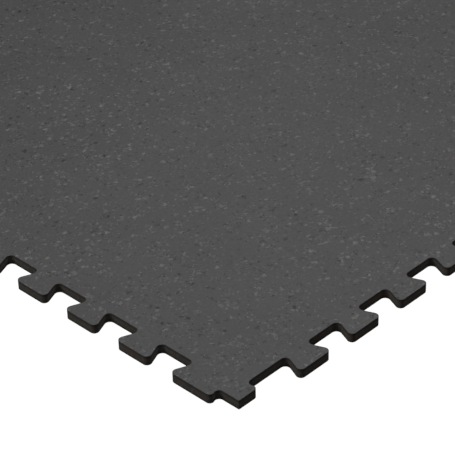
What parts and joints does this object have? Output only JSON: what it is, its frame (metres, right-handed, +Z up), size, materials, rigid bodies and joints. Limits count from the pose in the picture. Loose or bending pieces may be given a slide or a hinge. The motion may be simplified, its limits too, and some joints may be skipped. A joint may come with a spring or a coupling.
{
  "type": "interlocking floor tile",
  "caption": "Square flexible PVC floor tile with rounded dovetail teeth and gaps along every side, which lock into the tiles laid beside it.",
  "frame": {"origin": "middle of the underside, on the floor", "axes": "+Z up out of the wear face; X and Y along the module lines, parallel to the sides of the square of floor that one laid tile covers"},
  "size_m": [0.5158, 0.5158, 0.0066],
  "materials": {
    "charcoal_pvc": "matte"
  },
  "bodies": {
    "root": {"floor_tile": "charcoal_pvc"}
  },
  "joints": []
}
